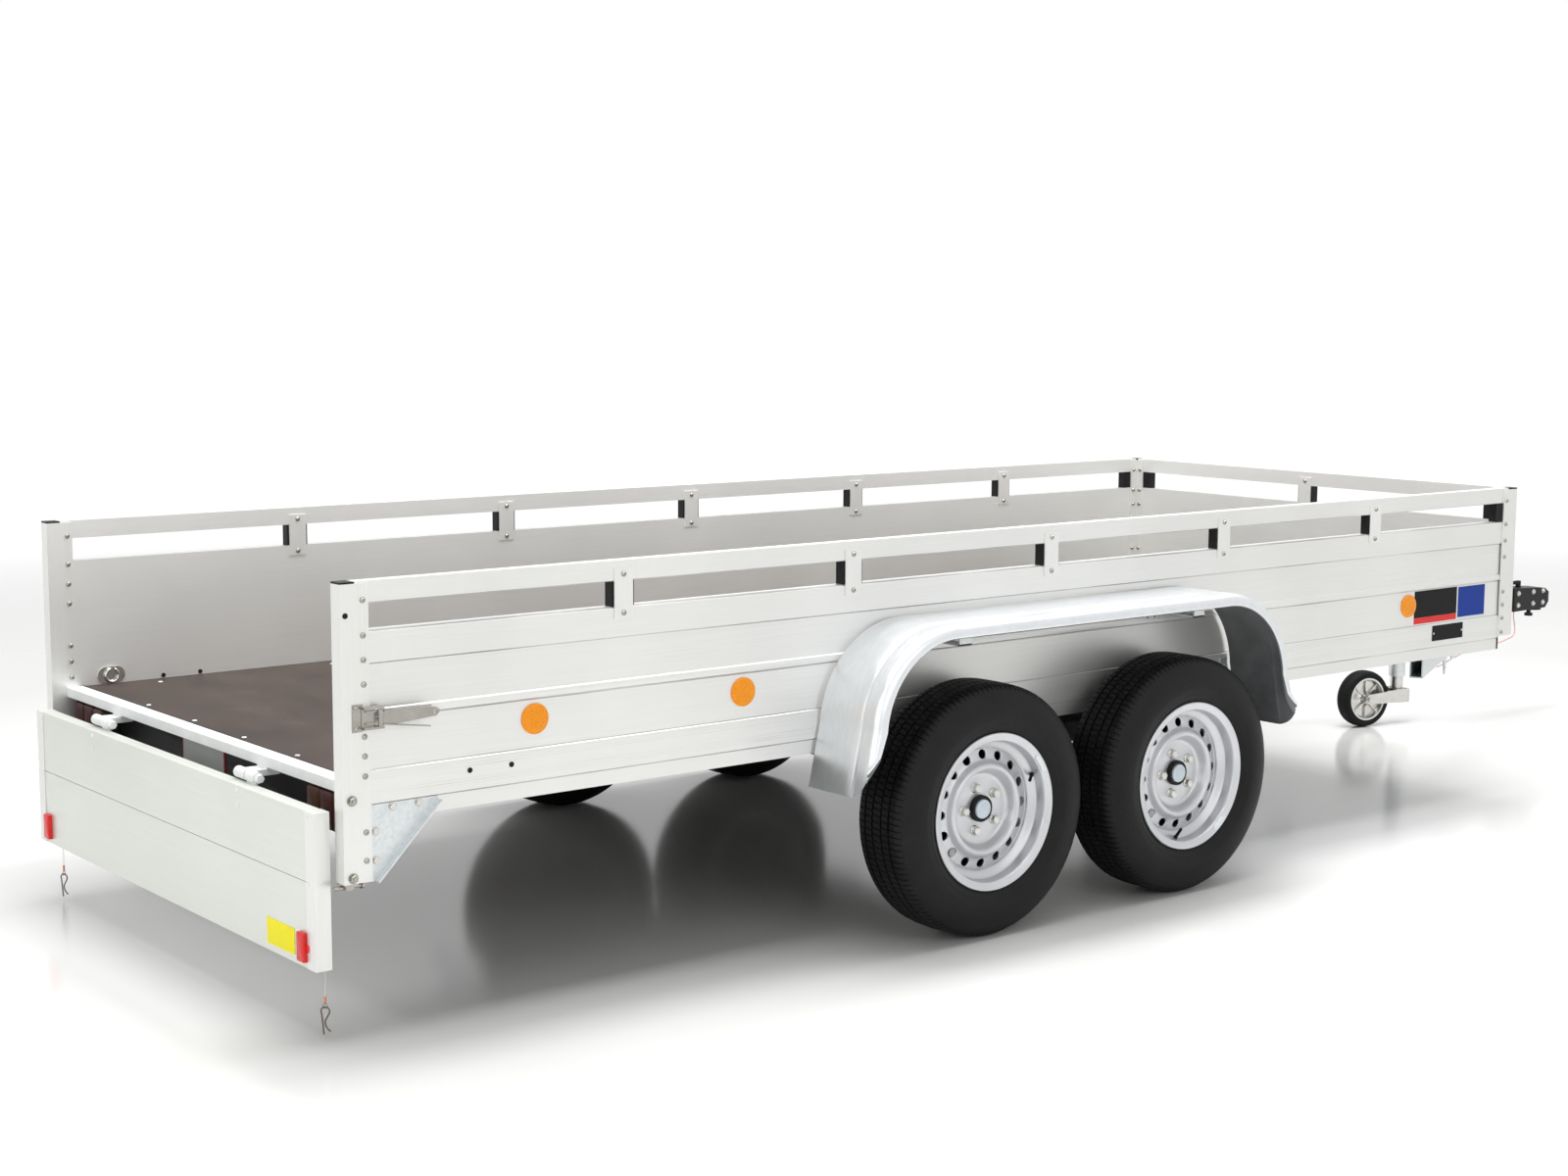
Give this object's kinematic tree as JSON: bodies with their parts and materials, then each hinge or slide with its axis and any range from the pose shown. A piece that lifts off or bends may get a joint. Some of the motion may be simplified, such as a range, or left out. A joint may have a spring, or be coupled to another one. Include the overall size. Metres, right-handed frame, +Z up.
{
  "type": "flat-bed farm trailer",
  "caption": "Twin-axle flat-bed farm trailer with plank walls, a lashing rail, a drop-down tailgate, an overrun drawbar and a swivelling jockey wheel.",
  "frame": {"origin": "centre of the footprint of the whole trailer, on the ground", "axes": "+X forward to the drawbar, +Y to the trailer's left side, +Z up"},
  "size_m": [5.5034, 2.036, 0.976],
  "materials": {
    "film_plywood": "textured phenolic film",
    "white_paint": "satin",
    "anodised_plank": "satin anodised",
    "anodised_strap": "satin",
    "black_plastic": "matte",
    "zinc_screw": "bright zinc",
    "galvanised": "hot-dip galvanised",
    "guard_sheet": "smooth zinc-aluminium sheet",
    "amber_lens": "gloss",
    "red_lens": "gloss",
    "zinc_plate": "bright zinc",
    "red_wire": "plastic-coated wire",
    "steel_wire": "wire rope",
    "spring_wire": "dark spring steel",
    "solid_rubber": "matte",
    "black_paint": "satin black",
    "road_tyre": "matte",
    "silver_rim": "silver lacquer",
    "dark_steel": "dark galvanised"
  },
  "bodies": {
    "frame": {"deck_board": "film_plywood", "rear_crossbar": "white_paint", "wall_right": "anodised_plank", "wall_left": "anodised_plank", "wall_front": "anodised_plank", "bottom_rails": "anodised_plank", "top_rails": "anodised_plank", "rear_posts": "anodised_plank", "front_posts": "anodised_plank", "end_caps": "black_plastic", "rail_spacers": "black_plastic", "rail_straps": "anodised_strap", "frame_screws": "zinc_screw", "corner_gussets": "galvanised", "chassis_beams": "galvanised", "drawbar_arms": "galvanised", "overrun_housing": "galvanised", "axle_beams": "galvanised", "mudguards": "guard_sheet", "side_reflectors": "amber_lens", "rear_lamps": "red_lens", "latch_bases": "zinc_plate", "lashing_cups": "zinc_plate", "jockey_clamp": "galvanised", "brake_linkage": "zinc_plate", "breakaway_cable": "red_wire"},
    "tailgate": {"gate_planks": "anodised_plank", "gate_end_caps": "anodised_plank", "gate_hinge_leaves": "white_paint", "gate_reflectors": "red_lens", "gate_lanyards": "steel_wire", "gate_clips": "spring_wire"},
    "latch_right": {"latch_lever_right": "zinc_plate"},
    "latch_left": {"latch_lever_left": "zinc_plate"},
    "ring_right": {"lashing_ring_right": "zinc_plate"},
    "ring_left": {"lashing_ring_left": "zinc_plate"},
    "arm_rear_right": {"arm_rear_right": "dark_steel"},
    "wheel_rear_right": {"tyre_rear_right": "road_tyre", "rim_rear_right": "silver_rim", "hub_rear_right": "zinc_plate"},
    "arm_rear_left": {"arm_rear_left": "dark_steel"},
    "wheel_rear_left": {"tyre_rear_left": "road_tyre", "rim_rear_left": "silver_rim", "hub_rear_left": "zinc_plate"},
    "arm_front_right": {"arm_front_right": "dark_steel"},
    "wheel_front_right": {"tyre_front_right": "road_tyre", "rim_front_right": "silver_rim", "hub_front_right": "zinc_plate"},
    "arm_front_left": {"arm_front_left": "dark_steel"},
    "wheel_front_left": {"tyre_front_left": "road_tyre", "rim_front_left": "silver_rim", "hub_front_left": "zinc_plate"},
    "jockey_slider": {"jockey_stem": "zinc_plate"},
    "jockey_fork": {"jockey_fork": "zinc_plate"},
    "jockey_wheel": {"jockey_tyre": "solid_rubber", "jockey_rim": "zinc_plate"},
    "jockey_crank": {"jockey_crank": "zinc_plate"},
    "coupling": {"coupling_head": "black_paint"},
    "coupling_handle": {"coupling_handle": "black_plastic"},
    "handbrake": {"handbrake_lever": "zinc_plate"}
  },
  "joints": [
    {"name": "gate_hinge", "type": "hinge", "parent": "frame", "child": "tailgate", "pos_m": [-2.70225, 0, 0.51], "axis": [0, 1, 0], "range_deg": [0, 180]},
    {"name": "latch_swing_right", "type": "hinge", "parent": "frame", "child": "latch_right", "pos_m": [-2.61425, -0.811, 0.693], "axis": [0, 0, 1], "range_deg": [-125, 0]},
    {"name": "latch_swing_left", "type": "hinge", "parent": "frame", "child": "latch_left", "pos_m": [-2.61425, 0.811, 0.693], "axis": [0, 0, 1], "range_deg": [0, 125]},
    {"name": "ring_swing_right", "type": "hinge", "parent": "frame", "child": "ring_right", "pos_m": [-2.53825, -0.759, 0.583], "axis": [1, 0, 0], "range_deg": [0, 90]},
    {"name": "ring_swing_left", "type": "hinge", "parent": "frame", "child": "ring_left", "pos_m": [-2.53825, 0.759, 0.583], "axis": [1, 0, 0], "range_deg": [-90, 0]},
    {"name": "suspension_rear_right", "type": "hinge", "parent": "frame", "child": "arm_rear_right", "pos_m": [-0.90525, -0.836, 0.353], "axis": [0, 1, 0], "range_deg": [-4, 14], "stiffness_Nm_per_rad": 2900, "springref_deg": -3.44},
    {"name": "spin_rear_right", "type": "hinge", "parent": "arm_rear_right", "child": "wheel_rear_right", "pos_m": [-1.04525, -0.925, 0.3135], "axis": [0, 1, 0], "continuous": true},
    {"name": "suspension_rear_left", "type": "hinge", "parent": "frame", "child": "arm_rear_left", "pos_m": [-0.90525, 0.836, 0.353], "axis": [0, 1, 0], "range_deg": [-4, 14], "stiffness_Nm_per_rad": 2900, "springref_deg": -3.44},
    {"name": "spin_rear_left", "type": "hinge", "parent": "arm_rear_left", "child": "wheel_rear_left", "pos_m": [-1.04525, 0.925, 0.3135], "axis": [0, 1, 0], "continuous": true},
    {"name": "suspension_front_right", "type": "hinge", "parent": "frame", "child": "arm_front_right", "pos_m": [-0.19625, -0.836, 0.353], "axis": [0, 1, 0], "range_deg": [-4, 14], "stiffness_Nm_per_rad": 2900, "springref_deg": -3.44},
    {"name": "spin_front_right", "type": "hinge", "parent": "arm_front_right", "child": "wheel_front_right", "pos_m": [-0.33625, -0.925, 0.3135], "axis": [0, 1, 0], "continuous": true},
    {"name": "suspension_front_left", "type": "hinge", "parent": "frame", "child": "arm_front_left", "pos_m": [-0.19625, 0.836, 0.353], "axis": [0, 1, 0], "range_deg": [-4, 14], "stiffness_Nm_per_rad": 2900, "springref_deg": -3.44},
    {"name": "spin_front_left", "type": "hinge", "parent": "arm_front_left", "child": "wheel_front_left", "pos_m": [-0.33625, 0.925, 0.3135], "axis": [0, 1, 0], "continuous": true},
    {"name": "crank_turn", "type": "hinge", "parent": "frame", "child": "jockey_crank", "pos_m": [2.15375, 0.193, 0.65], "axis": [0, 0, 1], "range_deg": [-1790, 11990]},
    {"name": "jockey_slide", "type": "slide", "parent": "frame", "child": "jockey_slider", "axis": [0, 0, -1], "range_m": [-0.03, 0.2]},
    {"name": "jockey_swivel", "type": "hinge", "parent": "jockey_slider", "child": "jockey_fork", "pos_m": [2.15375, 0.193, 0.12], "axis": [0, 0, 1], "continuous": true},
    {"name": "jockey_spin", "type": "hinge", "parent": "jockey_fork", "child": "jockey_wheel", "pos_m": [2.00018, 0.22564, 0.103], "axis": [-0.2079, -0.9781, 0], "continuous": true},
    {"name": "overrun_slide", "type": "slide", "parent": "frame", "child": "coupling", "axis": [-1, 0, 0], "range_m": [0, 0.09], "stiffness_N_per_m": 4000, "springref_m": -0.02},
    {"name": "coupling_handle_lift", "type": "hinge", "parent": "coupling", "child": "coupling_handle", "pos_m": [2.60775, 0, 0.475], "axis": [0, 1, 0], "range_deg": [0, 30], "stiffness_Nm_per_rad": 1, "springref_deg": -11.46},
    {"name": "handbrake_pull", "type": "hinge", "parent": "frame", "child": "handbrake", "pos_m": [2.26675, 0, 0.505], "axis": [0, 1, 0], "range_deg": [-60, 0]}
  ],
  "couplings": [
    {"joint": "jockey_slide", "follows": "crank_turn", "m_per_rad": 0.00095493}
  ]
}
